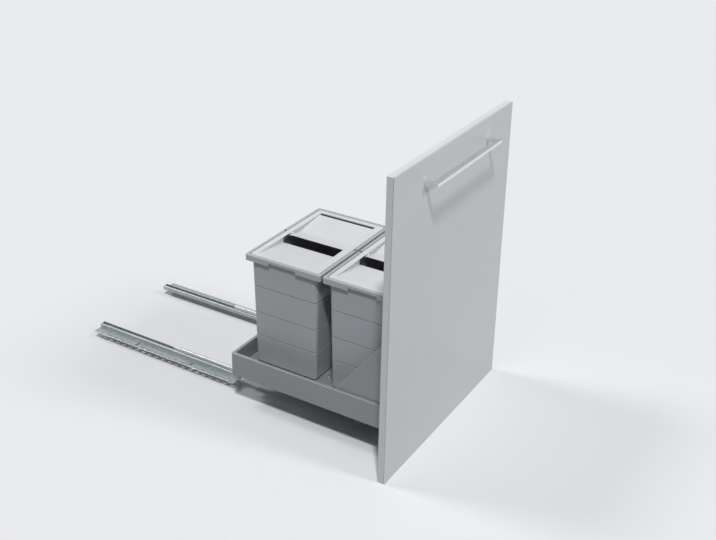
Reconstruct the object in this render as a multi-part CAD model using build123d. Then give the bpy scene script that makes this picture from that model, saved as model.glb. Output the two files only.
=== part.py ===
from build123d import *
import os

# Pull-out bin frame for a 600 mm base cabinet, modelled drawn out to its full travel.
# +Z is up, +Y points into the cabinet, +X to the right seen from the front.
# The origin is the centre of the four floor screws, on the cabinet floor.

# Travel and place of the runners
travel = 500.0
closed_gap = 2.0
rail_length = 500.0
rail_setback = 12.0
rail_spacing = 277.0
rail_sheet = 1.5

# Section of the cabinet rail; the drawer rail is the same trough upside down
trough_width = 18.0
trough_height = 12.75
trough_corner = 2.5
trough_neck = 10.4
flange_width = 27.5
flange_corner = 4.0
rail_gap = 1.5
stop_length = 8.0
stop_width = 5.0
stop_height = 1.4
stop_inset = 8.0

# Holes in the base flange
floor_hole = 6.4
floor_hole_pitch = 448.0
floor_hole_inset = 15.0
slot_length = 13.0
slot_width = 6.4
slot_pitch = 192.0

# Middle rail
middle_length = 480.0
middle_width = 8.2
middle_sheet = 1.4
middle_corner = 1.8
middle_clearance = 3.0

# Roller cages
roller_clearance = 0.1
roller_pitch = 38.0
load_roller_length = 6.0
load_roller_count = 3
guide_roller_height = 3.6
guide_roller_count = 2
roller_sides = 12
cage_length = 160.0
cage_sheet = 1.2
cage_height = 7.2
pocket_clearance = 0.2

# Drawer rail
drawer_rail_length = 480.0
drawer_rail_offset = 14.0

# Carrier between drawer rail and tray
carrier_height = 56.0
carrier_sheet = 1.5
carrier_bend = 2.5
carrier_foot = 42.0
carrier_head = 24.0
carrier_offset = 3.0
carrier_length = 466.0
window_length = 150.0
window_height = 26.0
window_corner = 9.0
window_count = 2

# Crossbars between the carriers
crossbar_width = 34.0
crossbar_height = 18.0
crossbar_gap = 3.0
crossbar_offset = 21.0

# Tray
tray_width = 444.0
tray_length = 482.0
tray_sheet = 1.2
tray_wall = 8.5
tray_depth = 47.0
tray_height = 64.0
tray_bevel = 1.6
tray_hollow_bevel = 0.8
tray_corner = 4.0
tray_inner_corner = 6.0

# Gusset plates
gusset_sheet = 2.0
gusset_rise = 212.0
gusset_foot = 173.0
gusset_nose = 4.0
gusset_flange = 20.0
gusset_floor_flange = 14.0
gusset_lip = 5.0
gusset_gap = 0.5

# Front panel
panel_width = 597.0
panel_height = 778.0
panel_thickness = 19.0
panel_drop = 21.0
panel_edge = 0.8

# Handle
handle_spacing = 320.0
handle_bar = 10.0
handle_height = 8.0
handle_projection = 35.0
handle_below_top = 57.0
handle_edge = 0.5

# Locking clip and release lever
clip_gap = 0.5
clip_width = 18.0
clip_height = 12.0
clip_length = 18.0
clip_cheek = 3.5
clip_offset = 150.0
lever_hub = 7.0
lever_gap = 0.4
lever_length = 55.0
lever_thickness = 4.5
lever_pad_width = 16.0
lever_pad_gap = 1.0
lever_pin = 4.0
lever_rib_height = 3.0
lever_rib_width = 2.4
lever_rib_pitch = 6.6
lever_rib_count = 6
lever_pad_bevel = 2.5
lever_rib_inset = 3.0

# Bins
bin_width = 339.2
bin_depth = 224.0
bin_height = 311.0
bin_corner = 12.0
bin_wall = 2.5
bin_draft = 8.5
bin_overhang = 6.0
bin_side_overhang = 12.75
bin_bottom_bevel = 3.0
bin_foot = 2.5
bin_foot_size = 16.0
bin_foot_inset = 26.0
bin_gap = 6.0
bin_rear_gap = 3.25
rim_sheet = 2.2
rim_border = 8.5
rim_corner = 6.0
rim_flange = 16.0
rim_bevel = 1.0
grip_width = 80.0
grip_height = 8.0
shelf_width = 5.0
shelf_drop = 6.0
shelf_sheet = 2.5
lid_seat_corner = 7.0

# Lid frame
lid_gap = 1.0
lid_sheet = 2.2
lid_bevel = 0.6
lid_rear_border = 15.75
lid_front_border = 20.75
lid_near_border = 10.0
lid_far_border = 15.0
finger_slot = 7.0
valley_depth = 15.0
valley_lip = 37.0
valley_cheek_depth = 8.4
ledge_width = 4.0
ledge_gap = 0.3
ledge_inset = 12.0

# Lid flap and its hinge pins
flap_gap = 0.8
flap_lip_lead = 10.0
flap_lip_drop = 3.0
flap_fold = 33.0
flap_fold_drop = 11.5
flap_barrel = 6.0
flap_pin_x = 2.0
flap_pin = 4.0
flap_pin_drop = 3.8
pin_clearance = 0.15
hole_clearance = 0.1
pin_end_gap = 0.75
notch_width = 6.5
notch_depth = 7.0

# One overrun serves every cut
over = 1.0

# Places that follow from the sizes above
cabinet_front = -rail_length / 2 - rail_setback
panel_back = cabinet_front - closed_gap - travel
panel_front = panel_back - panel_thickness
panel_top = panel_height - panel_drop
rail_x = rail_spacing / 2
stack_height = 2 * trough_height + rail_gap
carrier_top = stack_height + carrier_height
floor_top = carrier_top + tray_sheet
tray_top = floor_top + tray_depth
tray_bottom = tray_top - tray_height
tray_rear = panel_back + tray_length
flange_outer = rail_x + trough_width / 2 + flange_width
floor_hole_x = flange_outer - floor_hole_inset
trough_inner = trough_width - 2 * rail_sheet
side_gap = (trough_inner - middle_width) / 2
guide_roller_x = (middle_width + side_gap) / 2
guide_roller_z = trough_height / 2
load_roller_z = rail_sheet + middle_clearance / 2
cage_low = load_roller_z - cage_sheet / 2
middle_front = -rail_length / 2 - travel / 2
middle_rear = middle_front + middle_length
drawer_rail_front = panel_back + drawer_rail_offset
drawer_rail_rear = drawer_rail_front + drawer_rail_length
lower_cage_y = (middle_rear - rail_length / 2) / 2
upper_cage_y = (middle_front + drawer_rail_rear) / 2
web_x = rail_x - trough_width / 2 - carrier_sheet
carrier_front = panel_back + carrier_offset
carrier_rear = carrier_front + carrier_length
front_crossbar_y = panel_back + crossbar_offset
rear_crossbar_y = carrier_rear - crossbar_width / 2
gusset_x = tray_width / 2 - tray_wall
gusset_top = tray_top + gusset_rise
handle_z = panel_top - handle_below_top
clip_x = rail_x + trough_width / 2 + clip_gap + clip_width / 2
clip_front = panel_back + clip_offset
lever_pivot_y = clip_front + clip_length / 2
lever_pivot_z = stack_height - clip_cheek - lever_gap - lever_hub / 2
rear_bin_y = tray_rear - tray_wall - bin_rear_gap - bin_depth / 2
front_bin_y = rear_bin_y - bin_depth - bin_gap
bin_bottom = floor_top + bin_foot
rim_top = floor_top + bin_height
body_height = bin_height - bin_foot
lid_half_x = bin_width / 2 - rim_border - lid_gap
lid_half_y = bin_depth / 2 - rim_border - lid_gap
lid_corner = lid_seat_corner - lid_gap
valley_rear = lid_half_y - lid_rear_border
valley_front = lid_front_border - lid_half_y
valley_start = lid_near_border - lid_half_x
slot_end = lid_half_x - lid_far_border
flap_end = slot_end - finger_slot
flap_start = flap_pin_x - flap_lip_lead


def block(x0, x1, y0, y1, z0, z1):
    """Box between two corners."""
    corner = (Align.MIN, Align.MIN, Align.MIN)
    return Pos(x0, y0, z0) * Box(x1 - x0, y1 - y0, z1 - z0, align=corner)


def along_x(section, left, length):
    """Extrude a section drawn in Y and Z."""
    plane = Plane(origin=(left, 0, 0), x_dir=(0, 1, 0), z_dir=(1, 0, 0))
    return extrude(plane * section, amount=length, dir=plane.z_dir)


def along_y(section, front, length):
    """Extrude a section drawn in X and Z."""
    plane = Plane(origin=(0, front + length, 0), x_dir=(1, 0, 0), z_dir=(0, -1, 0))
    return extrude(plane * section, amount=length, dir=plane.z_dir)


def rod_x(radius, length, x, y, z):
    """Round rod along X, centred on the point."""
    return Pos(x, y, z) * extrude(Plane.YZ * Circle(radius), amount=length / 2, both=True)


def rod_y(radius, length, x, y, z):
    """Round rod along Y, centred on the point."""
    return Pos(x, y, z) * extrude(Plane.XZ * Circle(radius), amount=length / 2, both=True)


def rod_z(radius, length, x, y, z):
    """Round rod along Z, centred on the point."""
    return Pos(x, y, z) * Cylinder(radius, length)


def folded(points, bend, thickness, side):
    """Section of bent sheet along a line."""
    line = FilletPolyline(*points, radius=bend)
    return make_face(offset(line, amount=thickness, side=side))


def spread(first, last, count):
    """Evenly spaced places from first to last."""
    step = (last - first) / (count - 1)
    return [first + i * step for i in range(count)]


def mirrored(shape):
    """The same shape on the other side of the middle."""
    return mirror(shape, about=Plane.YZ)


# Runners

def trough_section():
    """Rail trough with its neck at the top."""
    section = RectangleRounded(trough_width, trough_height, trough_corner)
    inner_height = trough_height - 2 * rail_sheet
    section -= Rectangle(trough_inner, inner_height)
    return section - Pos(0, trough_height / 2) * Rectangle(trough_neck, 2 * rail_sheet)


def cabinet_rail():
    """Fixed rail with its perforated base flange, right-hand side."""
    front = -rail_length / 2
    rear = rail_length / 2
    rail = along_y(Pos(rail_x, trough_height / 2) * trough_section(), front, rail_length)
    flange = block(rail_x, flange_outer, front, rear, 0, rail_sheet)
    corners = flange.edges().filter_by(Axis.Z).group_by(Axis.X)[-1]
    rail += fillet(corners, flange_corner)
    half = trough_inner / 2
    rail += block(rail_x - half, rail_x + half, rear - rail_sheet, rear,
                  rail_sheet, trough_height - rail_sheet)
    stop_front = front + stop_inset
    rail += block(rail_x - stop_width / 2, rail_x + stop_width / 2, stop_front,
                  stop_front + stop_length, rail_sheet, rail_sheet + stop_height)
    for y in (-floor_hole_pitch / 2, floor_hole_pitch / 2):
        rail -= rod_z(floor_hole / 2, rail_sheet + 2 * over, floor_hole_x, y, rail_sheet / 2)
    slot = extrude(SlotOverall(slot_length, slot_width), amount=rail_sheet + over, both=True)
    for y in (-slot_pitch / 2, slot_pitch / 2):
        rail -= Pos(floor_hole_x, y, 0) * slot
    return rail


def middle_rail():
    """Closed middle rail, right-hand side."""
    height = stack_height - 2 * (rail_sheet + middle_clearance)
    section = RectangleRounded(middle_width, height, middle_corner)
    section -= Rectangle(middle_width - 2 * middle_sheet, height - 2 * middle_sheet)
    return along_y(Pos(rail_x, stack_height / 2) * section, middle_front, middle_length)


def drawer_rail():
    """Moving rail under the carrier, right-hand side."""
    section = mirror(trough_section(), about=Plane.XZ)
    place = Pos(rail_x, stack_height - trough_height / 2)
    rail = along_y(place * section, drawer_rail_front, drawer_rail_length)
    stop_rear = drawer_rail_rear - stop_inset
    inside_top = stack_height - rail_sheet
    rail += block(rail_x - stop_width / 2, rail_x + stop_width / 2, stop_rear - stop_length,
                  stop_rear, inside_top - stop_height, inside_top)
    return rail


def roller_places(count):
    """Y of each roller of a row in the lower cage."""
    half_row = roller_pitch * (count - 1) / 2
    return spread(lower_cage_y - half_row, lower_cage_y + half_row, count)


def lower_cage():
    """Roller cage between cabinet rail and middle rail, right-hand side."""
    half = guide_roller_x + cage_sheet / 2
    inner = half - cage_sheet
    front = lower_cage_y - cage_length / 2
    high = cage_low + cage_height
    cage = block(rail_x - half, rail_x + half, front, front + cage_length, cage_low, high)
    cage -= block(rail_x - inner, rail_x + inner, front - over, front + cage_length + over,
                  cage_low + cage_sheet, high + over)
    load_half = load_roller_length / 2 + pocket_clearance
    load_room = middle_clearance / 2 + pocket_clearance
    for y in roller_places(load_roller_count):
        cage -= block(rail_x - load_half, rail_x + load_half, y - load_room, y + load_room,
                      cage_low - over, cage_low + cage_sheet + over)
    guide_half = guide_roller_height / 2 + pocket_clearance
    guide_room = side_gap / 2 + pocket_clearance
    for y in roller_places(guide_roller_count):
        cage -= block(rail_x - trough_inner / 2, rail_x + trough_inner / 2, y - guide_room,
                      y + guide_room, guide_roller_z - guide_half, guide_roller_z + guide_half)
    return cage


def lower_rollers():
    """Load rollers under the middle rail and guide rollers at its sides."""
    load_radius = middle_clearance / 2 - roller_clearance
    guide_radius = side_gap / 2 - roller_clearance
    load = extrude(Plane.YZ * RegularPolygon(load_radius, roller_sides),
                   amount=load_roller_length / 2, both=True)
    guide = extrude(RegularPolygon(guide_radius, roller_sides),
                    amount=guide_roller_height / 2, both=True)
    rollers = [Pos(rail_x, y, load_roller_z) * load for y in roller_places(load_roller_count)]
    for x in (rail_x - guide_roller_x, rail_x + guide_roller_x):
        for y in roller_places(guide_roller_count):
            rollers.append(Pos(x, y, guide_roller_z) * guide)
    return Compound(rollers)


def raised(shape):
    """A lower cage or its rollers turned over into the upper place."""
    flipped = mirror(shape, about=Plane.XY)
    return Pos(0, upper_cage_y - lower_cage_y, stack_height) * flipped


# Subframe

def carrier():
    """Z-shaped carrier from drawer rail to tray, right-hand side."""
    top = carrier_top - carrier_sheet
    head_end = web_x + carrier_sheet - carrier_head
    points = ((web_x + carrier_foot, stack_height), (web_x, stack_height),
              (web_x, top), (head_end, top))
    section = folded(points, carrier_bend, carrier_sheet, Side.RIGHT)
    piece = along_y(section, carrier_front, carrier_length)
    pitch = carrier_length / window_count
    half_row = pitch * (window_count - 1) / 2
    middle_y = carrier_front + carrier_length / 2
    middle_z = stack_height + carrier_height / 2
    for y in spread(middle_y - half_row, middle_y + half_row, window_count):
        window = Pos(y, middle_z) * RectangleRounded(window_length, window_height, window_corner)
        piece -= along_x(window, web_x - over, carrier_sheet + 2 * over)
    return piece


def crossbar(centre):
    """U-shaped bar that ties the two carriers."""
    top = carrier_top - carrier_sheet
    low = top - crossbar_height
    front = centre - crossbar_width / 2
    rear = centre + crossbar_width / 2
    points = ((front, low), (front, top), (rear, top), (rear, low))
    section = folded(points, carrier_bend, carrier_sheet, Side.RIGHT)
    half = web_x - crossbar_gap
    return along_x(section, -half, 2 * half)


# Tray and gussets

def tray_shell(shrink, bevel, front, bottom):
    """Outer block of the tray, shrunk by a sheet for the hollow under it."""
    half = tray_width / 2 - shrink
    shell = block(-half, half, front, tray_rear - shrink, bottom, tray_top - shrink)
    corners = shell.edges().filter_by(Axis.Z).group_by(Axis.Y)[-1]
    shell = fillet(corners, tray_corner - shrink)
    rim = shell.edges().group_by(Axis.Z)[-1]
    rim = rim.filter_by_position(Axis.Y, front + over, tray_rear + over)
    return chamfer(rim, bevel)


def tray():
    """Tray with hollow side and rear walls that are open underneath."""
    half = tray_width / 2 - tray_wall
    inside_rear = tray_rear - tray_wall
    piece = tray_shell(0, tray_bevel, panel_back, tray_bottom)
    piece -= tray_shell(tray_sheet, tray_hollow_bevel, panel_back - over, tray_bottom - over)
    piece += block(-half - tray_sheet, half + tray_sheet, panel_back,
                   inside_rear + tray_sheet, carrier_top, tray_top)
    cavity = block(-half, half, panel_back + tray_sheet, inside_rear,
                   floor_top, tray_top + over)
    cavity = fillet(cavity.edges().filter_by(Axis.Z).group_by(Axis.Y)[-1], tray_inner_corner)
    piece -= cavity
    flange_edge = gusset_x - gusset_flange - gusset_gap
    notch = block(flange_edge, half, panel_back - over, panel_back + tray_sheet + over,
                  floor_top, tray_top + over)
    piece -= notch
    piece -= mirrored(notch)
    return piece


def gusset():
    """Triangular plate with flanges to panel and floor, right-hand side."""
    rear = panel_back + gusset_foot
    nose = (panel_back + gusset_nose, gusset_top)
    toe = (rear, tray_top)
    outline = ((panel_back, floor_top), (panel_back, gusset_top), nose, toe, (rear, floor_top))
    plate = Polygon(*outline, align=None)
    piece = along_x(plate, gusset_x - gusset_sheet, gusset_sheet)
    slope = Vector(toe) - Vector(nose)
    inward = Vector(slope.Y, -slope.X).normalized() * gusset_sheet
    strip = (nose, toe, (toe[0] + inward.X, toe[1] + inward.Y),
             (nose[0] + inward.X, nose[1] + inward.Y))
    piece += along_x(Polygon(*strip, align=None), gusset_x - gusset_lip, gusset_lip)
    piece += block(gusset_x - gusset_flange, gusset_x, panel_back,
                   panel_back + gusset_sheet, floor_top, gusset_top)
    piece += block(gusset_x - gusset_floor_flange, gusset_x, panel_back,
                   rear, floor_top, floor_top + gusset_sheet)
    return piece


# Front panel and handle

def front_panel():
    """Front panel with bevelled edges."""
    half = panel_width / 2
    panel = block(-half, half, panel_front, panel_back, -panel_drop, panel_top)
    return chamfer(panel.edges(), panel_edge)


def handle():
    """Square bar handle with two feet."""
    half = (handle_spacing + handle_bar) / 2
    front = panel_front - handle_projection
    low = handle_z - handle_height / 2
    high = handle_z + handle_height / 2
    bar = block(-half, half, front, panel_front, low, high)
    bar -= block(handle_bar - half, half - handle_bar, front + handle_bar,
                 panel_front + over, low - over, high + over)
    free = bar.edges().filter_by_position(Axis.Y, front - over, panel_front - over)
    return chamfer(free, handle_edge)


# Locking clip and release lever

def clip_body():
    """Clip housing under the carrier foot, right-hand side."""
    half = clip_width / 2
    low = stack_height - clip_height
    body = block(clip_x - half, clip_x + half, clip_front, clip_front + clip_length,
                 low, stack_height)
    inner = half - clip_cheek
    body -= block(clip_x - inner, clip_x + inner, clip_front - over,
                  clip_front + clip_length - clip_cheek, low - over, stack_height - clip_cheek)
    body -= rod_x(lever_pin / 2 + pin_clearance, clip_width + 2 * over,
                  clip_x, lever_pivot_y, lever_pivot_z)
    return body


def release_lever():
    """Ribbed finger lever on its pin, right-hand side."""
    half = clip_width / 2 - clip_cheek - lever_gap
    low = lever_pivot_z - lever_thickness / 2
    high = lever_pivot_z + lever_thickness / 2
    end = lever_pivot_y - lever_length
    pad_rear = clip_front - lever_pad_gap
    lever = rod_x(lever_hub / 2, 2 * half, clip_x, lever_pivot_y, lever_pivot_z)
    lever += rod_x(lever_pin / 2, clip_width, clip_x, lever_pivot_y, lever_pivot_z)
    lever += block(clip_x - half, clip_x + half, end, lever_pivot_y, low, high)
    pad_half = lever_pad_width / 2
    pad = block(clip_x - pad_half, clip_x + pad_half, end, pad_rear, low, high)
    lever += chamfer(pad.edges().filter_by(Axis.Z).group_by(Axis.Y)[0], lever_pad_bevel)
    first = end + lever_rib_inset
    last = first + lever_rib_pitch * (lever_rib_count - 1)
    for y in spread(first, last, lever_rib_count):
        lever += block(clip_x - pad_half + lever_rib_inset, clip_x + pad_half - lever_rib_inset,
                       y, y + lever_rib_width, low - lever_rib_height, low)
    return lever


# Bins

def body_rectangle(height, shrink):
    """Outline of the tapered bin body at a height, less a wall if wanted."""
    pull = bin_draft * (1 - height / body_height)
    width = bin_width - 2 * (bin_overhang + pull + shrink)
    depth = bin_depth - 2 * (bin_side_overhang + pull + shrink)
    return RectangleRounded(width, depth, bin_corner - shrink)


def prism(sketch, low, high):
    """Upright prism between two heights."""
    return Pos(0, 0, low) * extrude(sketch, amount=high - low)


def tapered(low, high, shrink):
    """Loft of the bin body between two heights."""
    lower = Pos(0, 0, low) * body_rectangle(low, shrink)
    upper = Pos(0, 0, high) * body_rectangle(high, shrink)
    return loft([lower, upper], ruled=True)


def bin_tub(centre):
    """Waste bin with folded rim, lid shelf, grip notches and pin notches."""
    top = body_height
    foot = body_rectangle(0, bin_bottom_bevel)
    knee = Pos(0, 0, bin_bottom_bevel) * body_rectangle(bin_bottom_bevel, 0)
    body = loft([foot, knee], ruled=True) + tapered(bin_bottom_bevel, top, 0)
    rim = prism(RectangleRounded(bin_width, bin_depth, rim_corner), top - rim_flange, top)
    rim = chamfer(rim.edges().group_by(Axis.Z)[-1], rim_bevel)
    rim -= prism(RectangleRounded(bin_width - 2 * rim_sheet, bin_depth - 2 * rim_sheet,
                                  rim_corner - rim_sheet),
                 top - rim_flange - over, top - rim_sheet)
    seat_x = lid_half_x + lid_gap
    seat_y = lid_half_y + lid_gap
    seat_wall = RectangleRounded(2 * (seat_x + rim_sheet), 2 * (seat_y + rim_sheet),
                                 lid_seat_corner + rim_sheet)
    shelf_under = top - shelf_drop - shelf_sheet
    tub = body + rim + prism(seat_wall, shelf_under, top - rim_sheet / 2)
    tub -= tapered(bin_wall, shelf_under, bin_wall)
    tub -= prism(body_rectangle(top, bin_wall + shelf_width), shelf_under - over, top + over)
    tub -= prism(RectangleRounded(2 * seat_x, 2 * seat_y, lid_seat_corner), top - shelf_drop, top + over)
    for side in (-1, 1):
        edge = side * bin_width / 2
        inner = edge - side * (rim_sheet + over)
        tub -= block(min(inner, edge + side * over), max(inner, edge + side * over),
                     -grip_width / 2, grip_width / 2,
                     top - rim_flange - over, top - rim_flange + grip_height)
        inside = side * (seat_y - over)
        end = side * (seat_y + notch_depth)
        tub -= block(flap_pin_x - notch_width / 2, flap_pin_x + notch_width / 2,
                     min(inside, end), max(inside, end), top - shelf_drop, top + over)
    foot_x = bin_width / 2 - bin_overhang - bin_draft - bin_foot_inset
    foot_y = bin_depth / 2 - bin_side_overhang - bin_draft - bin_foot_inset
    for x in (-foot_x, foot_x):
        for y in (-foot_y, foot_y):
            half = bin_foot_size / 2
            tub += block(x - half, x + half, y - half, y + half, -bin_foot, bin_wall)
    return Pos(0, centre, bin_bottom) * tub


# Lids

def lid_frame(centre):
    """Lid frame with its sunk near panel, valley cheeks and ledges."""
    outline = RectangleRounded(2 * lid_half_x, 2 * lid_half_y, lid_corner)
    inset = RectangleRounded(2 * (lid_half_x - lid_sheet), 2 * (lid_half_y - lid_sheet),
                             lid_corner - lid_sheet)
    frame = prism(outline, -shelf_drop, 0)
    frame = chamfer(frame.edges().group_by(Axis.Z)[-1], lid_bevel)
    frame -= prism(inset, -shelf_drop - over, -lid_sheet)
    frame -= block(valley_start, slot_end, valley_front, valley_rear, -shelf_drop, over)
    near = ((valley_start, -lid_sheet), (valley_start, 0), (-valley_lip, -valley_depth),
            (-valley_lip, -valley_depth - lid_sheet))
    length = valley_rear - valley_front
    frame += along_y(Polygon(*near, align=None), valley_front, length)
    fold_depth = -flap_fold_drop - lid_sheet - ledge_gap - lid_sheet
    near_cheek = ((valley_start, 0), (-valley_lip, 0), (-valley_lip, -valley_depth - lid_sheet),
                  (valley_start, -lid_sheet))
    far_cheek = ((flap_start, 0), (slot_end, 0), (slot_end, -lid_sheet - ledge_gap - lid_sheet),
                 (flap_fold, fold_depth), (flap_start, -valley_cheek_depth))
    for cheek in (near_cheek, far_cheek):
        cheek_sketch = Polygon(*cheek, align=None)
        frame += along_y(cheek_sketch, valley_rear, lid_sheet)
        frame += along_y(cheek_sketch, valley_front - lid_sheet, lid_sheet)
    under = lid_sheet + ledge_gap
    ledge_start = flap_fold + ledge_inset
    ledge_stop = flap_end - ledge_inset
    ledge = ((ledge_start, flap_height(ledge_start) - under),
             (ledge_stop, flap_height(ledge_stop) - under),
             (ledge_stop, flap_height(ledge_stop) - under - lid_sheet),
             (ledge_start, flap_height(ledge_start) - under - lid_sheet))
    ledge_sketch = Polygon(*ledge, align=None)
    frame += along_y(ledge_sketch, valley_rear - ledge_width, ledge_width)
    frame += along_y(ledge_sketch, valley_front, ledge_width)
    channel_half = flap_pin / 2 + hole_clearance
    for front, rear in ((valley_rear, lid_half_y + over), (-lid_half_y - over, valley_front)):
        frame -= block(flap_pin_x - channel_half, flap_pin_x + channel_half, front, rear,
                       -shelf_drop - over, channel_half - flap_pin_drop)
    return Pos(0, centre, rim_top) * frame


def flap_height(x):
    """Top of the flap's long panel at an x past the fold."""
    share = (x - flap_fold) / (flap_end - flap_fold)
    return -flap_fold_drop * (1 - share)


def lid_flap(centre):
    """Flap with its hinge barrels, folded strip and long panel."""
    points = ((flap_start, -flap_lip_drop), (flap_fold, -flap_fold_drop), (flap_end, 0),
              (flap_end, -lid_sheet), (flap_fold, -flap_fold_drop - lid_sheet),
              (flap_start, -flap_lip_drop - lid_sheet))
    front = valley_front + flap_gap
    rear = valley_rear - flap_gap
    flap = along_y(Polygon(*points, align=None), front, rear - front)
    for y in (front + flap_barrel / 2, rear - flap_barrel / 2):
        flap += rod_y(flap_pin_drop, flap_barrel, flap_pin_x, y, -flap_pin_drop)
    for y in (front, rear):
        flap -= rod_y(flap_pin / 2 + pin_clearance, 2 * flap_barrel,
                      flap_pin_x, y, -flap_pin_drop)
    return Pos(0, centre, rim_top) * flap


def flap_pins(centre):
    """The two hinge pins of a flap, from barrel to rim notch."""
    outer = lid_half_y + lid_gap + notch_depth - pin_end_gap
    rear_start = valley_rear - flap_gap - flap_barrel + pin_end_gap
    front_start = valley_front + flap_gap + flap_barrel - pin_end_gap
    pins = []
    for start, end in ((rear_start, outer), (front_start, -outer)):
        pins.append(Pos(0, centre, rim_top) * rod_y(
            flap_pin / 2, abs(end - start), flap_pin_x, (start + end) / 2, -flap_pin_drop))
    return Compound(pins)


# Write one file for each piece
os.makedirs("parts", exist_ok=True)
right_cage = lower_cage()
right_rollers = lower_rollers()
paired = {
    "cabinet_rail": cabinet_rail(),
    "middle_rail": middle_rail(),
    "drawer_rail": drawer_rail(),
    "lower_cage": right_cage,
    "upper_cage": raised(right_cage),
    "lower_rollers": right_rollers,
    "upper_rollers": raised(right_rollers),
    "carrier": carrier(),
    "gusset": gusset(),
    "clip_body": clip_body(),
    "release_lever": release_lever(),
}
pieces = {
    "front_crossbar": crossbar(front_crossbar_y),
    "rear_crossbar": crossbar(rear_crossbar_y),
    "tray": tray(),
    "front_panel": front_panel(),
    "handle": handle(),
}
for side, centre in (("rear", rear_bin_y), ("front", front_bin_y)):
    pieces[side + "_bin"] = bin_tub(centre)
    pieces[side + "_lid_frame"] = lid_frame(centre)
    pieces[side + "_lid_flap"] = lid_flap(centre)
    pieces[side + "_flap_pins"] = flap_pins(centre)
for name, shape in paired.items():
    pieces["right_" + name] = shape
    pieces["left_" + name] = mirrored(shape)
for name, shape in pieces.items():
    export_step(shape, f"parts/{name}.step")
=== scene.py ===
from math import cos, radians, sin

import bmesh
import bpy
from mathutils import Matrix, Vector


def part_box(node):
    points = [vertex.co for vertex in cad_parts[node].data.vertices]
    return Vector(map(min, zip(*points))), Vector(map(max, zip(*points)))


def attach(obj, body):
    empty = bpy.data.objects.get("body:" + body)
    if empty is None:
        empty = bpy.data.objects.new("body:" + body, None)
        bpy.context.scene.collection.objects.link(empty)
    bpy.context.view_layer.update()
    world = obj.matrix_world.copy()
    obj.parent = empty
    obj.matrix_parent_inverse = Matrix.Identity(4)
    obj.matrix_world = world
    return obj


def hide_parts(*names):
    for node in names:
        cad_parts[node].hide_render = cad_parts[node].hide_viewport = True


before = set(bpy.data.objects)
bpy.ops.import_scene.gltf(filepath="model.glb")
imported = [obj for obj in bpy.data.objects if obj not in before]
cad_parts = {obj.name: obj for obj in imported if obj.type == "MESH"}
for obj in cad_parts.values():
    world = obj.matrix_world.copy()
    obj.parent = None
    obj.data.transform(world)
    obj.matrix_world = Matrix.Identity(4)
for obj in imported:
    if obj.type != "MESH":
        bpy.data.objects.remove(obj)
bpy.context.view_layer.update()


# Cabinet rails. Two roll-formed troughs of zinc-coated steel, each with a flat base
# flange that is punched for the floor screws. They stay on the cabinet floor.

def pattern_tree(name):
    """Start a node group that takes a place and gives slow clouds and a fine grain."""
    tree = bpy.data.node_groups.new(name, "ShaderNodeTree")
    tree.interface.new_socket("Place", in_out="INPUT", socket_type="NodeSocketVector")
    tree.interface.new_socket("Cloud", in_out="OUTPUT", socket_type="NodeSocketFloat")
    tree.interface.new_socket("Grain", in_out="OUTPUT", socket_type="NodeSocketFloat")
    return tree, tree.nodes.new("NodeGroupInput"), tree.nodes.new("NodeGroupOutput")


def noise(tree, place, scale, detail=2.0):
    """Add noise laid out over a place; returns its value."""
    texture = tree.nodes.new("ShaderNodeTexNoise")
    texture.inputs["Scale"].default_value = scale
    texture.inputs["Detail"].default_value = detail
    tree.links.new(place, texture.inputs["Vector"])
    return texture.outputs["Fac"]


def drawn_out(tree, place, scale):
    """Stretch a place along the way that the metal was rolled or brushed."""
    stretch = tree.nodes.new("ShaderNodeMapping")
    stretch.inputs["Scale"].default_value = scale
    tree.links.new(place, stretch.inputs["Vector"])
    return stretch.outputs["Vector"]


def zinc_spangle():
    """Frosty patches and fine roller lines of a zinc coat."""
    tree, entry, result = pattern_tree("Zinc spangle")
    place = entry.outputs["Place"]
    crystals = tree.nodes.new("ShaderNodeTexVoronoi")
    crystals.inputs["Scale"].default_value = 170.0
    tone = tree.nodes.new("ShaderNodeSeparateColor")
    blend = tree.nodes.new("ShaderNodeMath")
    blend.operation = "MULTIPLY_ADD"
    blend.inputs[1].default_value = 0.3
    along = drawn_out(tree, place, (1.0, 0.03, 1.0))
    tree.links.new(place, crystals.inputs["Vector"])
    tree.links.new(crystals.outputs["Color"], tone.inputs["Color"])
    tree.links.new(tone.outputs["Red"], blend.inputs[0])
    tree.links.new(noise(tree, place, 30.0, 4.0), blend.inputs[2])
    tree.links.new(blend.outputs["Value"], result.inputs["Cloud"])
    tree.links.new(noise(tree, along, 1400.0), result.inputs["Grain"])
    return tree


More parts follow.
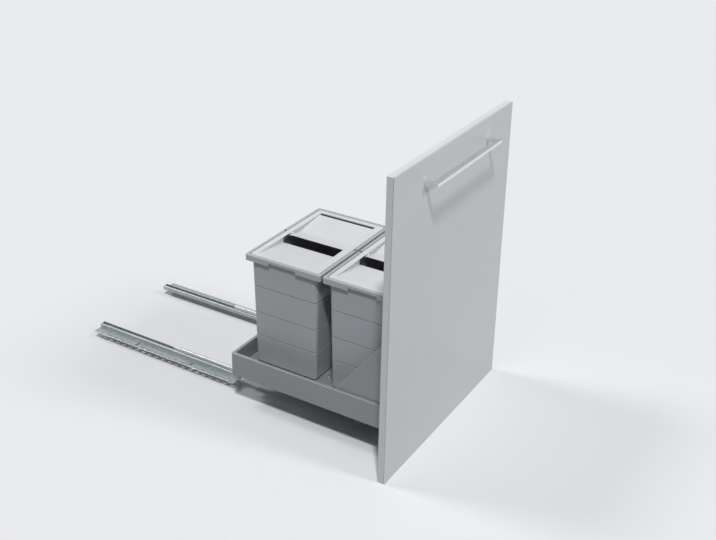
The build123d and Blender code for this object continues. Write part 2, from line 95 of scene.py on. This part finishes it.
def surface(name, tree, dark, light, roughness, spread, depth, metallic=0.0, coat=0.0):
    """Finish whose colour follows a group's clouds, and whose gloss and relief its grain."""
    material = bpy.data.materials.new(name)
    material.use_nodes = True
    nodes = material.node_tree.nodes
    links = material.node_tree.links
    shader = nodes["Principled BSDF"]
    shader.inputs["Metallic"].default_value = metallic
    shader.inputs["Coat Weight"].default_value = coat
    shader.inputs["Coat Roughness"].default_value = 0.25
    place = nodes.new("ShaderNodeTexCoord")
    pattern = nodes.new("ShaderNodeGroup")
    pattern.node_tree = tree
    colour = nodes.new("ShaderNodeMix")
    colour.data_type = "RGBA"
    colour.inputs["A"].default_value = (*dark, 1.0)
    colour.inputs["B"].default_value = (*light, 1.0)
    gloss = nodes.new("ShaderNodeMapRange")
    gloss.inputs["To Min"].default_value = roughness - spread
    gloss.inputs["To Max"].default_value = roughness + spread
    relief = nodes.new("ShaderNodeBump")
    relief.inputs["Strength"].default_value = 0.6
    relief.inputs["Distance"].default_value = depth
    links.new(place.outputs["Object"], pattern.inputs["Place"])
    links.new(pattern.outputs["Cloud"], colour.inputs["Factor"])
    links.new(pattern.outputs["Grain"], gloss.inputs["Value"])
    links.new(pattern.outputs["Grain"], relief.inputs["Height"])
    links.new(colour.outputs["Result"], shader.inputs["Base Color"])
    links.new(gloss.outputs["Result"], shader.inputs["Roughness"])
    links.new(relief.outputs["Normal"], shader.inputs["Normal"])
    return material


spangle = zinc_spangle()
zinc_rail = surface("Zinc-plated rail", spangle, (0.31, 0.345, 0.345), (0.47, 0.505, 0.50),
                    0.38, 0.08, 0.00002, metallic=0.8)
crease = radians(40.0)
weld = 0.000001


def solid(bm, name):
    """Turn a finished mesh into an object of the scene."""
    mesh = bpy.data.meshes.new(name)
    bm.to_mesh(mesh)
    bm.free()
    piece = bpy.data.objects.new(name, mesh)
    bpy.context.scene.collection.objects.link(piece)
    return piece


def placed(bm, name, material, body, *nodes, edge=0.0, wall=0.0):
    """Make a mesh a visible piece that rides on a body, in place of its nodes."""
    bmesh.ops.remove_doubles(bm, verts=bm.verts, dist=weld)
    if not wall:
        bmesh.ops.recalc_face_normals(bm, faces=bm.faces)
    piece = solid(bm, name)
    piece.data.materials.append(material)
    piece.data.shade_smooth()
    piece.data.set_sharp_from_angle(angle=crease)
    if wall:
        shell = piece.modifiers.new("Sheet", "SOLIDIFY")
        shell.thickness = wall
        shell.use_even_offset = True
    if edge:
        ease = piece.modifiers.new("Eased edges", "BEVEL")
        ease.width = edge
        ease.segments = 2
        ease.limit_method = "ANGLE"
        ease.angle_limit = crease
    piece.modifiers.new("Even shading", "WEIGHTED_NORMAL").keep_sharp = True
    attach(piece, body)
    if nodes:
        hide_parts(*nodes)
    return piece


def slab(bm, low, high):
    """Add a plain block between two corners."""
    size = Vector(high) - Vector(low)
    middle = (Vector(high) + Vector(low)) / 2
    scale = Matrix.Diagonal((*size, 1.0))
    bmesh.ops.create_cube(bm, size=1.0, matrix=Matrix.Translation(middle) @ scale)


def cut_out(piece, bm):
    """Cut a mesh's shapes out of a piece, before its edges are eased."""
    cutter = solid(bm, "cutter")
    cut = piece.modifiers.new("Cut", "BOOLEAN")
    cut.object = cutter
    cut.operation = "DIFFERENCE"
    cut.solver = "EXACT"
    while piece.modifiers[0] != cut:
        piece.modifiers.move(piece.modifiers.find(cut.name), 0)
    bpy.context.view_layer.objects.active = piece
    bpy.ops.object.modifier_apply(modifier=cut.name)
    bpy.data.objects.remove(cutter)


rail_length = 0.5
punch_low, punch_high, punch_width = -0.001, 0.003, 0.0036
punch_rows = ((0.1523, 0.016, 0.0045), (0.1688, 0.024, 0.013))
for side, sign in (("left", -1.0), ("right", 1.0)):
    bm = bmesh.new()
    bm.from_mesh(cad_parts[f"{side}_cabinet_rail"].data)
    rail = placed(bm, f"{side}_punched_rail", zinc_rail, "cabinet_rails", f"{side}_cabinet_rail")
    bm = bmesh.new()
    for x, pitch, length in punch_rows:
        for place in range(int(rail_length / pitch)):
            y = (place + 0.5) * pitch - rail_length / 2
            slab(bm, (sign * x - punch_width / 2, y - length / 2, punch_low),
                 (sign * x + punch_width / 2, y + length / 2, punch_high))
    cut_out(rail, bm)


# Middle rails, roller cages and rollers. A closed steel section runs between the two
# troughs on hardened rollers; thin steel cages keep the rollers at their spacing.

def coat_node(material, *names):
    """Give carried-over nodes their finish."""
    for name in names:
        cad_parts[name].data.materials.clear()
        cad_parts[name].data.materials.append(material)


def aimed(place, axis):
    """Where an upright thing goes so that it stands at a place along an axis."""
    turn = Vector((0.0, 0.0, 1.0)).rotation_difference(Vector(axis)).to_matrix().to_4x4()
    return Matrix.Translation(Vector(place)) @ turn


def round_off(bm, edges, width, segments):
    """Round some of a mesh's edges off."""
    bmesh.ops.bevel(bm, geom=edges, offset=width, offset_type="OFFSET", affect="EDGES",
                    segments=segments, profile=0.5, material=-1)


def turned(bm, radius, length, centre, axis, ease=0.0003):
    """Add a round bar with eased ends, centred on a point along an axis."""
    made = bmesh.ops.create_cone(bm, cap_ends=True, segments=32, radius1=radius,
                                 radius2=radius, depth=length, matrix=aimed(centre, axis))
    fresh = set(made["verts"])
    ends = [e for e in bm.edges if e.verts[0] in fresh
            and sum(len(f.verts) > 4 for f in e.link_faces) == 1]
    round_off(bm, ends, ease, 2)


smooth_zinc = surface("Drawn zinc-plated steel", spangle, (0.50, 0.52, 0.51), (0.70, 0.72, 0.71),
                      0.28, 0.06, 0.00001, metallic=0.9)
cage_strip = surface("Cage strip", spangle, (0.34, 0.35, 0.34), (0.50, 0.51, 0.50),
                     0.40, 0.08, 0.00002, metallic=0.8)
ground_steel = surface("Ground roller steel", spangle, (0.62, 0.62, 0.62), (0.78, 0.78, 0.78),
                       0.12, 0.04, 0.000004, metallic=1.0)
coat_node(smooth_zinc, "left_middle_rail", "right_middle_rail")
coat_node(cage_strip, "left_lower_cage", "right_lower_cage", "left_upper_cage", "right_upper_cage")
rail_centre = 0.1385
load_radius, load_length, load_pitch = 0.0014, 0.006, 0.038
guide_radius, guide_height, guide_reach = 0.0016, 0.0036, 0.0058
for side, sign in (("left", -1.0), ("right", 1.0)):
    for level in ("lower", "upper"):
        low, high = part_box(f"{side}_{level}_rollers")
        middle = (low[1] + high[1]) / 2
        if level == "lower":
            load_z, guide_z = low[2] + load_radius, high[2] - guide_height / 2
        else:
            load_z, guide_z = high[2] - load_radius, low[2] + guide_height / 2
        bm = bmesh.new()
        for y in (-load_pitch, 0, load_pitch):
            turned(bm, load_radius, load_length, (sign * rail_centre, middle + y, load_z),
                   (1, 0, 0))
        for x in (-guide_reach, guide_reach):
            for y in (-load_pitch / 2, load_pitch / 2):
                turned(bm, guide_radius, guide_height,
                       (sign * rail_centre + x, middle + y, guide_z), (0, 0, 1))
        rollers = placed(bm, f"{side}_{level}_turned_rollers", ground_steel,
                         f"{side}_{level}_roller_cage", f"{side}_{level}_rollers")


# Drawer rails, carriers and crossbars. The moving troughs carry Z-folded brackets with
# long windows, riveted on, and two folded crossbars keep the brackets in line.

rivet_steel = surface("Rivet steel", spangle, (0.46, 0.47, 0.47), (0.64, 0.65, 0.65),
                      0.30, 0.08, 0.00001, metallic=0.9)
coat_node(zinc_rail, "left_drawer_rail", "right_drawer_rail", "left_carrier", "right_carrier",
          "front_crossbar", "rear_crossbar")
bracket_sheet, head_radius, head_height = 0.0015, 0.00375, 0.0016
low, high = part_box("right_drawer_rail")
bracket_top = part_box("right_carrier")[0][2] + bracket_sheet
bm = bmesh.new()
for x in (-rail_centre, rail_centre):
    for share in (0.08, 0.5, 0.92):
        y = low[1] + share * (high[1] - low[1])
        turned(bm, head_radius, head_height, (x, y, bracket_top + head_height / 2), (0, 0, 1),
               ease=head_height * 0.7)
rivets = placed(bm, "carrier_rivets", rivet_steel, "drawer")


# Tray. One blank of sheet steel, folded up into hollow side and rear walls with a rolled
# rim, then powder-coated silver grey. Low front upstand; screws hold it to the brackets.

def fine_grain():
    """Slow clouds and a fine even grain for coated, lacquered and moulded faces."""
    tree, entry, result = pattern_tree("Fine grain")
    place = entry.outputs["Place"]
    tree.links.new(noise(tree, place, 5.0, 3.0), result.inputs["Cloud"])
    tree.links.new(noise(tree, place, 1100.0), result.inputs["Grain"])
    return tree


def grow(bm, cap, steps):
    """Carry a cap along a wall profile; each step goes inwards and upwards, in millimetres."""
    for inward, up in steps:
        bmesh.ops.inset_individual(bm, faces=[cap], thickness=inward / 1000, depth=up / 1000,
                                   use_even_offset=True)


def rounded_cap(bm, low, high, z, radius):
    """Start a shape with a flat face of rounded corners, which can be grown upwards."""
    middle = Matrix.Translation(((low[0] + high[0]) / 2, (low[1] + high[1]) / 2, z))
    scale = Matrix.Diagonal(((high[0] - low[0]) / 2, (high[1] - low[1]) / 2, 1.0, 1.0))
    made = bmesh.ops.create_grid(bm, x_segments=1, y_segments=1, size=1.0, matrix=middle @ scale)
    made = bmesh.ops.bevel(bm, geom=made["verts"], offset=radius, offset_type="OFFSET",
                           affect="VERTICES", segments=8, profile=0.5, material=-1)
    return made["verts"][0].link_faces[0]


def ring_wall(bm, cap, steps, start_closed=False, end_closed=False):
    """Grow a wall from a cap, closed at either end if wanted; returns its two end loops."""
    start = cap.verts[:]
    grow(bm, cap, steps)
    end = cap.verts[:]
    if start_closed:
        bm.faces.new(start[::-1])
    if not end_closed:
        bmesh.ops.delete(bm, geom=[cap], context="FACES_ONLY")
    return [[bm.edges.get(pair) for pair in zip(loop, loop[1:] + loop[:1])]
            for loop in (start, end)]


def split(bm, point, normal, clear=False):
    """Divide a mesh along a plane, and take away what lies beyond it if wanted."""
    bmesh.ops.bisect_plane(bm, geom=bm.verts[:] + bm.edges[:] + bm.faces[:], dist=weld,
                           plane_co=point, plane_no=normal, clear_outer=clear)


grain = fine_grain()
# The coat's colour is darker than the silver grey the tray really has: painted shade and painted
# dark reflections on the tray, its upstand and the gussets.
painted_shade_silver_coat = surface("Silver powder coat with painted shade", grain, (0.22, 0.23, 0.245), (0.30, 0.31, 0.325),
                      0.28, 0.05, 0.00003, metallic=0.1, coat=0.4)
low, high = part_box("tray")
cut_away = Vector((0, 0.05, 0))
wall_inset = Vector((0.010, 0.010, 0))
outer_corner, inner_corner = 0.004, 0.0045
floor_top, tray_sheet, upstand_half = 0.0842, 0.0012, 0.193
outer_wall = ((0, 62.4), (0.12, 0.6), (0.35, 0.6), (0.63, 0.3), (0.6, 0.1))
inner_wall = ((-0.85, 0.2), (-0.5, 0.6), (-0.15, 0.7), (0, 43.9),
              (-0.12, 0.6), (-0.35, 0.6), (-0.63, 0.3), (-0.6, 0))
bm = bmesh.new()
cap = rounded_cap(bm, low - cut_away, high, low[2], outer_corner)
outside = ring_wall(bm, cap, outer_wall)[1]
cap = rounded_cap(bm, low - cut_away + wall_inset, high - wall_inset, floor_top, inner_corner)
inside = ring_wall(bm, cap, inner_wall, start_closed=True)[1]
bmesh.ops.bridge_loops(bm, edges=outside + inside)
bmesh.ops.recalc_face_normals(bm, faces=bm.faces)
pan = min(bm.faces, key=lambda f: abs(f.calc_center_median().z - floor_top))
if pan.normal.z < 0:
    bmesh.ops.reverse_faces(bm, faces=bm.faces)
split(bm, (0, low[1], 0), (0, -1, 0), clear=True)
tray = placed(bm, "folded_tray", painted_shade_silver_coat, "drawer", "tray", edge=0.0003, wall=tray_sheet)
bm = bmesh.new()
slab(bm, (-upstand_half, low[1], floor_top - tray_sheet / 2),
     (upstand_half, low[1] + tray_sheet, high[2]))
upstand = placed(bm, "tray_front_upstand", painted_shade_silver_coat, "drawer", edge=0.0004)


# Screws. Pan heads with a six-lobed socket, zinc-plated: six in the tray floor, three in
# the flange of each gusset, and two from behind the panel into the handle.

screw_radius = 0.0042
head_steps = ((0, 1.17), (0.25, 0.78), (0.7, 0.52), (1.0, 0.13))
socket_steps = ((0.05, 0), (0.12, -1.3))
lobes = (1.12, 1.0, 0.8, 1.0)


def pan_screw(bm, place, up):
    """Add a pan head with its lobed socket."""
    made = bmesh.ops.create_circle(bm, cap_ends=True, segments=24, radius=screw_radius,
                                   matrix=aimed(place, up))
    cap = made["verts"][0].link_faces[0]
    if cap.normal.dot(Vector(up)) < 0:
        cap.normal_flip()
    grow(bm, cap, head_steps)
    middle = cap.calc_center_median()
    for step, corner in enumerate(cap.verts):
        corner.co = middle + (corner.co - middle) * lobes[step % len(lobes)]
    grow(bm, cap, socket_steps)


zinc_screw = surface("Zinc-plated screw", spangle, (0.52, 0.53, 0.53), (0.72, 0.73, 0.73),
                     0.24, 0.06, 0.00001, metallic=1.0)
gusset_sheet = 0.002
panel_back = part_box("front_panel")[1][1]
tray_screw_x, tray_screw_ys = 0.1175, (-0.743, -0.513, -0.3035)
flange_screw_x, flange_screw_zs = 0.2035, (0.1102, 0.2097, 0.3092)
handle_screw_x, handle_screw_z = 0.16, 0.7
bm = bmesh.new()
for sign in (-1, 1):
    for y in tray_screw_ys:
        pan_screw(bm, (sign * tray_screw_x, y, floor_top), (0, 0, 1))
    for z in flange_screw_zs:
        pan_screw(bm, (sign * flange_screw_x, panel_back + gusset_sheet, z), (0, 1, 0))
    pan_screw(bm, (sign * handle_screw_x, panel_back, handle_screw_z), (0, 1, 0))
screws = placed(bm, "pan_screws", zinc_screw, "drawer")


# Gussets. Triangular plates of 2 mm sheet with flanges folded to the panel and the tray
# floor and a narrow lip along the slope, coated like the tray.

def face_to(face, way):
    """Turn a face over if its back is towards a direction."""
    face.normal_update()
    if face.normal.dot(Vector(way)) < 0:
        face.normal_flip()


def pull(bm, made, way):
    """Move the corners that an extrusion has just made."""
    fresh = [v for v in made["geom"] if isinstance(v, bmesh.types.BMVert)]
    bmesh.ops.translate(bm, verts=fresh, vec=way)


lip, panel_flange, floor_flange, nose, bend = 0.005, 0.02, 0.014, 0.004, 0.0018
straight, slope_run = 0.001, 0.01
tray_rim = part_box("tray")[1][2]
for side, sign in (("left", -1.0), ("right", 1.0)):
    low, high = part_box(f"{side}_gusset")
    outer = high[0] if sign > 0 else low[0]
    outline = ((low[1], low[2]), (high[1], low[2]), (high[1], tray_rim),
               (low[1] + nose, high[2]), (low[1], high[2]))
    bm = bmesh.new()
    plate = bm.faces.new([bm.verts.new((outer, y, z)) for y, z in outline])
    face_to(plate, (sign, 0, 0))
    folds = []
    for edge in plate.edges[:]:
        a, b = (corner.co.copy() for corner in edge.verts)
        if abs(a.z - b.z) < straight and a.z < tray_rim:
            width = floor_flange
        elif abs(a.y - b.y) < straight and a.y < low[1] + straight:
            width = panel_flange
        elif abs(a.y - b.y) > slope_run:
            width = lip
        else:
            continue
        pull(bm, bmesh.ops.extrude_edge_only(bm, edges=[edge]), (-sign * width, 0, 0))
        folds.append(edge)
    round_off(bm, folds, bend, 4)
    gusset = placed(bm, f"{side}_folded_gusset", painted_shade_silver_coat, "drawer", f"{side}_gusset",
                    edge=0.0004, wall=gusset_sheet)


# Front panel. A 19 mm board with a satin silver-grey lacquer, its edges eased and banded
# in the same tone, with the band's fine joint line just behind the face.

satin_lacquer = surface("Satin silver lacquer", grain, (0.60, 0.61, 0.625), (0.66, 0.67, 0.685),
                        0.36, 0.05, 0.00002, metallic=0.1, coat=0.15)
panel_ease = 0.0009
joint, gap, deep, past = 0.0014, 0.0014, 0.0014, 0.002
low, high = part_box("front_panel")
bm = bmesh.new()
slab(bm, low, high)
round_off(bm, bm.edges[:], panel_ease, 4)
panel = placed(bm, "lacquered_panel", satin_lacquer, "drawer", "front_panel")
beyond = Vector((past, past, past))
for axis in (0, 2):
    bm = bmesh.new()
    for sign, edge in ((-1, low), (1, high)):
        start, end = low - beyond, high + beyond
        start[1], end[1] = low[1] + joint, low[1] + joint + gap
        start[axis], end[axis] = sorted((edge[axis] - sign * deep, edge[axis] + sign * past))
        slab(bm, start, end)
    cut_out(panel, bm)


# Handle. A square-edged bar with two short feet, cut from bright brushed metal and
# screwed on from behind the panel.

def brush_lines():
    """Long fine scratches along X with slow bands of tone."""
    tree, entry, result = pattern_tree("Brush lines")
    along = drawn_out(tree, entry.outputs["Place"], (0.02, 1.0, 1.0))
    tree.links.new(noise(tree, along, 300.0), result.inputs["Cloud"])
    tree.links.new(noise(tree, along, 2600.0, 3.0), result.inputs["Grain"])
    return tree


bright_bar = surface("Bright brushed bar", brush_lines(), (0.74, 0.75, 0.76), (0.88, 0.89, 0.90),
                     0.17, 0.05, 0.000010, metallic=1.0)
low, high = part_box("handle")
bar_depth, bar_ease = 0.01, 0.0006
bm = bmesh.new()
slab(bm, low, (high[0], low[1] + bar_depth, high[2]))
for x in (low[0] + bar_depth, high[0] - bar_depth):
    split(bm, (x, 0, 0), (1, 0, 0))
feet = [f for f in bm.faces
        if f.normal.y > 0.9 and abs(f.calc_center_median().x) > high[0] - bar_depth]
pull(bm, bmesh.ops.extrude_face_region(bm, geom=feet), (0, high[1] - low[1] - bar_depth, 0))
bmesh.ops.delete(bm, geom=feet, context="FACES_ONLY")
round_off(bm, [e for e in bm.edges if e.calc_face_angle(0) > crease], bar_ease, 3)
handle = placed(bm, "bar_handle", bright_bar, "drawer", "handle")


# Locking clips and release levers. Dark moulded housings under the brackets with a
# ribbed finger lever on a stub pin in each.

clip_plastic = surface("Dark clip plastic", grain, (0.045, 0.05, 0.052), (0.075, 0.08, 0.084),
                       0.48, 0.08, 0.00005)
coat_node(clip_plastic, "left_clip_body", "right_clip_body", "left_release_lever",
          "right_release_lever")


# Bins. Tapered tubs moulded in grey plastic, with three fine grooves round the body, a
# rim rolled down outside, grip notches under it and a shelf inside for the lid.

def set_in_wall(bm, low, high, margin, z, radius, steps, **ends):
    """Grow a wall whose rounded outline is set in from a box; returns its two end loops."""
    margin = Vector((*margin, 0))
    return ring_wall(bm, rounded_cap(bm, low + margin, high - margin, z, radius), steps, **ends)


def notch(piece, low, high, edge):
    """Cut a notch with eased corners out of a piece."""
    bm = bmesh.new()
    slab(bm, low, high)
    round_off(bm, bm.edges[:], edge, 3)
    cut_out(piece, bm)


tub_plastic = surface("Grey tub plastic", grain, (0.38, 0.395, 0.415), (0.44, 0.455, 0.475),
                      0.44, 0.06, 0.00005)
draft = 8.5 / 308.5
groove = ((0.3, 0.2), (1.9, 0.3), (0, 2.0), (-1.9, 0.3), (-0.3, 0.2))
body_wall = ((-1.5, 0.4), (-1.1, 1.1), (-0.4, 1.5), (-draft * 75.4, 75.4), *groove,
             (-draft * 64, 64), *groove, (-draft * 73, 73), *groove, (-draft * 75.6, 75.6))
fold_wall = ((0, 6.3),)
flange_wall = ((0, -13.3), (-0.2, -0.35), (-0.5, -0.15), (-0.8, 0), (-0.5, 0.15),
               (-0.2, 0.35), (0, 14.3), (0.16, 0.6), (0.44, 0.44), (0.6, 0.16))
seat_wall = ((0.45, -0.2), (0.15, -0.5), (0, -5.3))
shelf_wall = ((0.3, -0.3), (0, -1.9), (-0.3, -0.3))
lining_wall = ((8.12, -294.5), (0.4, -1.5), (1.1, -1.1), (1.5, -0.4))
foot_x, foot_y, foot_half, foot_height, foot_bite = 0.129, 0.065, 0.008, 0.0025, 0.0005
grip_half, grip_from, grip_to, grip_low, grip_high = 0.04, 0.1665, 0.1710, 0.020, 0.008
slot_left, slot_right, slot_from, slot_to = -0.00125, 0.00525, 0.1015, 0.1105
slot_low, slot_high = 0.006, 0.003
for side in ("rear", "front"):
    low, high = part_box(f"{side}_bin")
    middle = (low[1] + high[1]) / 2
    base, top = low[2] + foot_height, high[2]
    bm = bmesh.new()
    body = set_in_wall(bm, low, high, (0.0175, 0.02425), base, 0.0045, body_wall,
                       start_closed=True)[1]
    fold_foot, fold_head = set_in_wall(bm, low, high, (0.0063, 0.0063), top - 0.0084, 0.0092,
                                       fold_wall)
    under, crest = set_in_wall(bm, low, high, (0.0022, 0.0022), top - 0.0022, 0.0038,
                               flange_wall)
    seat, seat_foot = set_in_wall(bm, low, high, (0.0079, 0.0079), top - 0.0001, 0.0076,
                                  seat_wall)
    shelf, shelf_foot = set_in_wall(bm, low, high, (0.0132, 0.01995), top - 0.0062, 0.0048,
                                    shelf_wall)
    lining = set_in_wall(bm, low, high, (0.00873, 0.01548), top - 0.0085, 0.0135,
                         lining_wall, end_closed=True)[0]
    for lower, upper in ((body, fold_foot), (fold_head, under), (crest, seat),
                         (seat_foot, shelf), (shelf_foot, lining)):
        bmesh.ops.bridge_loops(bm, edges=lower + upper)
    for x in (-foot_x, foot_x):
        for y in (middle - foot_y, middle + foot_y):
            slab(bm, (x - foot_half, y - foot_half, low[2]),
                 (x + foot_half, y + foot_half, base + foot_bite))
    tub = placed(bm, f"{side}_moulded_tub", tub_plastic, f"{side}_bin_tub", f"{side}_bin")
    for sign in (-1.0, 1.0):
        x0, x1 = sorted((sign * grip_from, sign * grip_to))
        notch(tub, (x0, middle - grip_half, top - grip_low),
              (x1, middle + grip_half, top - grip_high), 0.001)
        y0, y1 = sorted((sign * slot_from, sign * slot_to))
        notch(tub, (slot_left, middle + y0, top - slot_low),
              (slot_right, middle + y1, top + slot_high), 0.0008)


# Lids. A border with a dished near half and a valley for throwing waste in, moulded in
# pale grey plastic; it drops into the tub's rim.

lid_plastic = surface("Pale lid plastic", grain, (0.64, 0.645, 0.665), (0.71, 0.715, 0.735),
                      0.40, 0.06, 0.00004)
play = Vector((0.0008, 0.0008, 0))
touch = 0.00001
lid_sheet, lid_height, lid_corner, valley = 0.0022, 0.006, 0.0052, -0.015
border_wall = ((0, 4.9), (0.1, 0.5), (0.4, 0.4), (0.6, 0.2))
start, stop, near_reach, far_reach = -0.1501, 0.1451, 0.08175, 0.08675
lip_x, flap_x, fold_x = -0.037, -0.008, 0.033
near_cheek = ((start, 0), (lip_x, valley), (lip_x, 0))
far_cheek = ((flap_x, 0), (flap_x, -0.0084), (fold_x, -0.0162), (stop, -0.0047), (stop, 0))
for side in ("rear", "front"):
    low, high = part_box(f"{side}_lid_frame")
    middle, top = (low[1] + high[1]) / 2, high[2]
    near, far = middle - near_reach, middle + far_reach
    bm = bmesh.new()
    cap = rounded_cap(bm, low + play, high - play, top - lid_height, lid_corner)
    grow(bm, cap, border_wall)
    for x in (start, stop, lip_x, flap_x):
        split(bm, (x, 0, 0), (1, 0, 0))
    for y in (near, far):
        split(bm, (0, y, 0), (0, 1, 0))
    opening = []
    for face in bm.faces:
        x, y, z = face.calc_center_median()
        if abs(z - top) < touch and start < x < stop and near < y < far:
            opening.append(face)
    bmesh.ops.delete(bm, geom=opening, context="FACES_ONLY")
    dish_edge = [e for e in bm.edges
                 if all(abs(v.co.x - start) < touch and abs(v.co.z - top) < touch
                        and near - touch < v.co.y < far + touch for v in e.verts)]
    pull(bm, bmesh.ops.extrude_edge_only(bm, edges=dish_edge), (lip_x - start, 0, valley))
    for y, facing in ((near, 1.0), (far, -1.0)):
        for cheek in (near_cheek, far_cheek):
            face = bm.faces.new([bm.verts.new((x, y, top + z)) for x, z in cheek])
            face_to(face, (0, facing, 0))
    bmesh.ops.remove_doubles(bm, verts=bm.verts, dist=touch)
    lid = placed(bm, f"{side}_lid_border", lid_plastic, f"{side}_lid", f"{side}_lid_frame",
                 edge=0.0005, wall=lid_sheet)


# Lid flaps. The far half of each lid turns up on two pins; a strip slopes down from the
# hinge to a fold and the long panel rises from there to a finger slot.

hinge_x, hinge_drop, barrel_radius, barrel_length = 0.002, 0.0038, 0.0034, 0.006
tip, fold_ease = 0.006, 0.003
for side in ("rear", "front"):
    low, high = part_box(f"{side}_lid_flap")
    top = high[2]
    profile = ((low[0], -0.003), (fold_x, -0.0115), (high[0] - tip, -0.0006), (high[0], -0.0032))
    bm = bmesh.new()
    first = [bm.verts.new((profile[0][0], y, top + profile[0][1])) for y in (low[1], high[1])]
    edge = bm.edges.new(first)
    for before, after in zip(profile, profile[1:]):
        made = bmesh.ops.extrude_edge_only(bm, edges=[edge])
        edge = [e for e in made["geom"] if isinstance(e, bmesh.types.BMEdge)][0]
        bmesh.ops.translate(bm, verts=edge.verts[:],
                            vec=(after[0] - before[0], 0, after[1] - before[1]))
    for face in bm.faces:
        face_to(face, (0, 0, 1))
    round_off(bm, [e for e in bm.edges if len(e.link_faces) == 2], fold_ease, 4)
    flap = placed(bm, f"{side}_folding_flap", lid_plastic, f"{side}_flap", f"{side}_lid_flap",
                  edge=0.0005, wall=lid_sheet)
    bm = bmesh.new()
    for y in (low[1] + barrel_length / 2, high[1] - barrel_length / 2):
        turned(bm, barrel_radius, barrel_length, (hinge_x, y, top - hinge_drop), (0, 1, 0),
               ease=0.0004)
    barrels = placed(bm, f"{side}_flap_barrels", lid_plastic, f"{side}_flap")


# Flap pins. Black moulded stubs whose ends show in the notches of the tub's rim. They
# stay with the lid and reach into the barrels of the flap.

black_pin = surface("Black pin plastic", grain, (0.012, 0.012, 0.013), (0.025, 0.025, 0.027),
                    0.35, 0.05, 0.00002)
pin_radius, far_pin, near_pin = 0.002, -0.029, 0.034
for side in ("rear", "front"):
    low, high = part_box(f"{side}_flap_pins")
    pin_z = (low[2] + high[2]) / 2
    bm = bmesh.new()
    for end, reach in ((high[1], far_pin), (low[1], near_pin)):
        turned(bm, pin_radius, abs(reach), (hinge_x, end + reach / 2, pin_z), (0, 1, 0),
               ease=0.0006)
    pins = placed(bm, f"{side}_hinge_pins", black_pin, f"{side}_lid", f"{side}_flap_pins")


# Studio. A pale floor and surround, and three lamps: a key from high on the front left, a
# fill from the front, and one from behind for the rims. The camera stands where the
# photograph was taken from.

def shown_and_lighting(tree, shown, lighting, target):
    """Let camera and reflections see one shader, while the other one lights the pieces."""
    rays = tree.nodes.new("ShaderNodeLightPath")
    either = tree.nodes.new("ShaderNodeMath")
    either.operation = "MAXIMUM"
    swap = tree.nodes.new("ShaderNodeMixShader")
    tree.links.new(rays.outputs["Is Camera Ray"], either.inputs[0])
    tree.links.new(rays.outputs["Is Glossy Ray"], either.inputs[1])
    tree.links.new(either.outputs["Value"], swap.inputs["Fac"])
    tree.links.new(lighting, swap.inputs[1])
    tree.links.new(shown, swap.inputs[2])
    tree.links.new(swap.outputs["Shader"], target)


pale = bpy.data.materials.new("Pale floor")
pale.use_nodes = True
nodes = pale.node_tree.nodes
seen = nodes["Principled BSDF"]
seen.inputs["Base Color"].default_value = (0.71, 0.715, 0.725, 1.0)
seen.inputs["Roughness"].default_value = 0.9
bounced = nodes.new("ShaderNodeBsdfDiffuse")
bounced.inputs["Color"].default_value = (0.26, 0.265, 0.27, 1.0)
shown_and_lighting(pale.node_tree, seen.outputs["BSDF"], bounced.outputs["BSDF"],
                   nodes["Material Output"].inputs["Surface"])
floor_reach, floor_level = 14.0, -0.0212
bm = bmesh.new()
bmesh.ops.create_grid(bm, x_segments=1, y_segments=1, size=floor_reach,
                      matrix=Matrix.Translation((0, 0, floor_level)))
ground = solid(bm, "studio_floor")
ground.data.materials.append(pale)

world = bpy.data.worlds.new("Studio")
bpy.context.scene.world = world
world.use_nodes = True
nodes = world.node_tree.nodes
lit = nodes["Background"]
lit.inputs["Color"].default_value = (0.92, 0.95, 1.0, 1.0)
lit.inputs["Strength"].default_value = 0.2
backdrop = nodes.new("ShaderNodeBackground")
backdrop.inputs["Color"].default_value = (0.80, 0.81, 0.82, 1.0)
shown_and_lighting(world.node_tree, backdrop.outputs["Background"], lit.outputs["Background"],
                   nodes["World Output"].inputs["Surface"])

for name, toward, strength, spread in (("key", (-0.40, -0.26, 0.88), 2.1, 5.0),
                                       ("front", (0.10, -0.80, 0.60), 0.9, 12.0),
                                       ("back", (-0.10, 0.58, 0.81), 0.75, 14.0)):
    lamp = bpy.data.lights.new(name, "SUN")
    lamp.energy = strength
    lamp.angle = radians(spread)
    fitting = bpy.data.objects.new(name, lamp)
    fitting.rotation_euler = Vector(toward).to_track_quat("Z", "Y").to_euler()
    bpy.context.scene.collection.objects.link(fitting)

yaw, pitch, roll = 1.01584, 0.41239, 0.012593
ahead = Vector((sin(yaw) * cos(pitch), cos(yaw) * cos(pitch), -sin(pitch)))
level = Vector((cos(yaw), -sin(yaw), 0.0))
upright = level.cross(ahead)
right = level * cos(roll) + upright * sin(roll)
up = upright * cos(roll) - level * sin(roll)
camera = bpy.data.cameras.new("camera")
camera.lens = 55.53
camera.sensor_width = 36.0
camera.shift_x = 0.02658
camera.shift_y = -0.09785
viewer = bpy.data.objects.new("camera", camera)
turn = Matrix((right, up, -ahead)).transposed().to_4x4()
viewer.matrix_world = Matrix.Translation((-2.14762, -1.79497, 1.62673)) @ turn
bpy.context.scene.collection.objects.link(viewer)
bpy.context.scene.camera = viewer
bpy.context.scene.view_settings.view_transform = "Standard"
